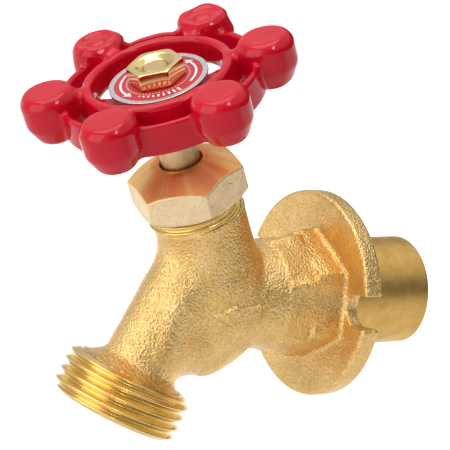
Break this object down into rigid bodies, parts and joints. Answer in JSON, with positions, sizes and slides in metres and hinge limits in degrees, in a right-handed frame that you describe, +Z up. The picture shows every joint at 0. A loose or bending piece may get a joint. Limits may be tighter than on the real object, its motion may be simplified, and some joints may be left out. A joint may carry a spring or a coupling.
{
  "type": "hose bib",
  "caption": "Angled hose bib: brass body with solder inlet, notched wall flange, downturned hose thread outlet, hex packing nut and lobed handwheel.",
  "frame": {"origin": "centre of the flange's wall face, on the inlet axis", "axes": "+Y into the wall along the inlet, +Z up, -Y to the front, +X to one side"},
  "size_m": [0.0546, 0.0905, 0.0868],
  "materials": {
    "cast_brass": "sand-cast and tumbled, with machined threads and spigot",
    "nut_brass": "dull forged flats with a turned cone",
    "turned_brass": "turned, satin",
    "polished_brass": "bright turned",
    "packing": "black packing ring",
    "seat_rubber": "black rubber washer",
    "red_enamel": "glossy red enamel on cast iron",
    "label": "red printed aluminium disc with a bare silver rim"
  },
  "bodies": {
    "valve_body": {"body": "cast_brass", "packing_nut": "nut_brass", "packing_gland": "turned_brass", "packing_ring": "packing", "packing_washer": "turned_brass"},
    "seat_disc": {"disc_holder": "turned_brass", "seat_washer": "seat_rubber", "washer_screw": "turned_brass"},
    "spindle": {"stem": "turned_brass", "handwheel": "red_enamel", "label_plate": "label", "handle_nut": "polished_brass"}
  },
  "joints": [
    {"name": "stem_lift", "type": "slide", "parent": "valve_body", "child": "seat_disc", "axis": [0, -0.4428, 0.8966], "range_m": [0, 0.0053]},
    {"name": "handwheel_turn", "type": "hinge", "parent": "seat_disc", "child": "spindle", "pos_m": [0, -0.02556, 0], "axis": [0, -0.4428, 0.8966], "range_deg": [0, 900]}
  ],
  "couplings": [
    {"joint": "stem_lift", "follows": "handwheel_turn", "m_per_rad": 0.00033688}
  ]
}
